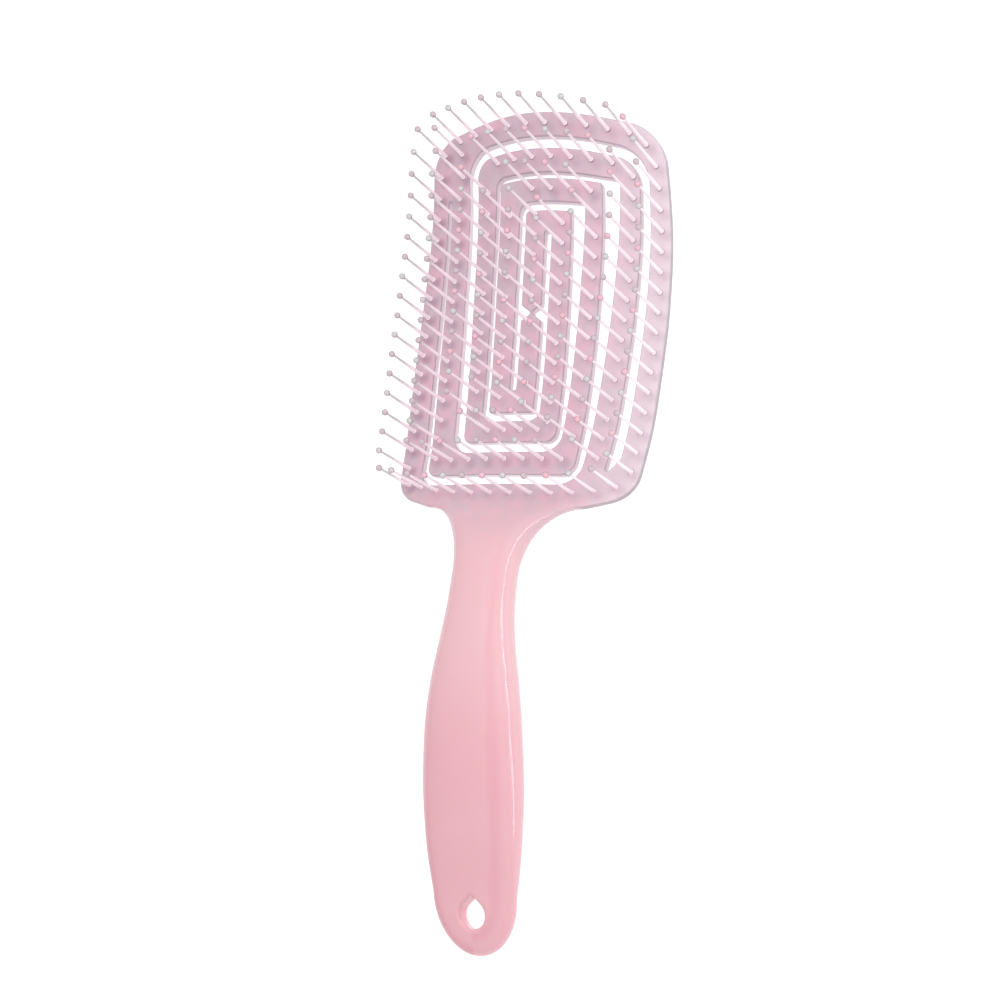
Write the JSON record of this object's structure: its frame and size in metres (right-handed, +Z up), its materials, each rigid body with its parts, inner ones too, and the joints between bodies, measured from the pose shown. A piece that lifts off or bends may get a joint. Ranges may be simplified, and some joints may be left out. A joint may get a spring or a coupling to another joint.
{
  "type": "scalp massage brush",
  "caption": "Vented paddle hair brush with a flexible spiral-slotted head, ball-tipped pins and a curved handle with a hanging hole.",
  "frame": {"origin": "middle of the bounding box at the surface the brush lies on, on its back", "axes": "+Y from the handle's end to the head's tip, +Z up along the pins, +X across the head to the right as seen from the pins with the tip away"},
  "size_m": [0.0806, 0.2426, 0.0417],
  "materials": {
    "body_plastic": "glossy, slightly translucent pink",
    "pin_nylon": "satin, pale pink"
  },
  "bodies": {
    "root": {"brush_body": "body_plastic", "pin_strip_tip_outer": "pin_nylon", "pin_strip_neck_outer": "pin_nylon", "pin_strip_left_outer": "pin_nylon", "pin_strip_right_outer": "pin_nylon", "pin_strip_left_second": "pin_nylon", "pin_strip_right_second": "pin_nylon", "pin_strip_tip_second": "pin_nylon", "pin_strip_neck_second": "pin_nylon", "pin_strip_right_third": "pin_nylon", "pin_strip_left_third": "pin_nylon", "pin_strip_tip_third": "pin_nylon", "pin_strip_neck_third": "pin_nylon", "pin_strip_left_fourth": "pin_nylon", "pin_strip_right_fourth": "pin_nylon", "pin_strip_upper_tongue": "pin_nylon", "pin_strip_lower_tongue": "pin_nylon"}
  },
  "joints": []
}
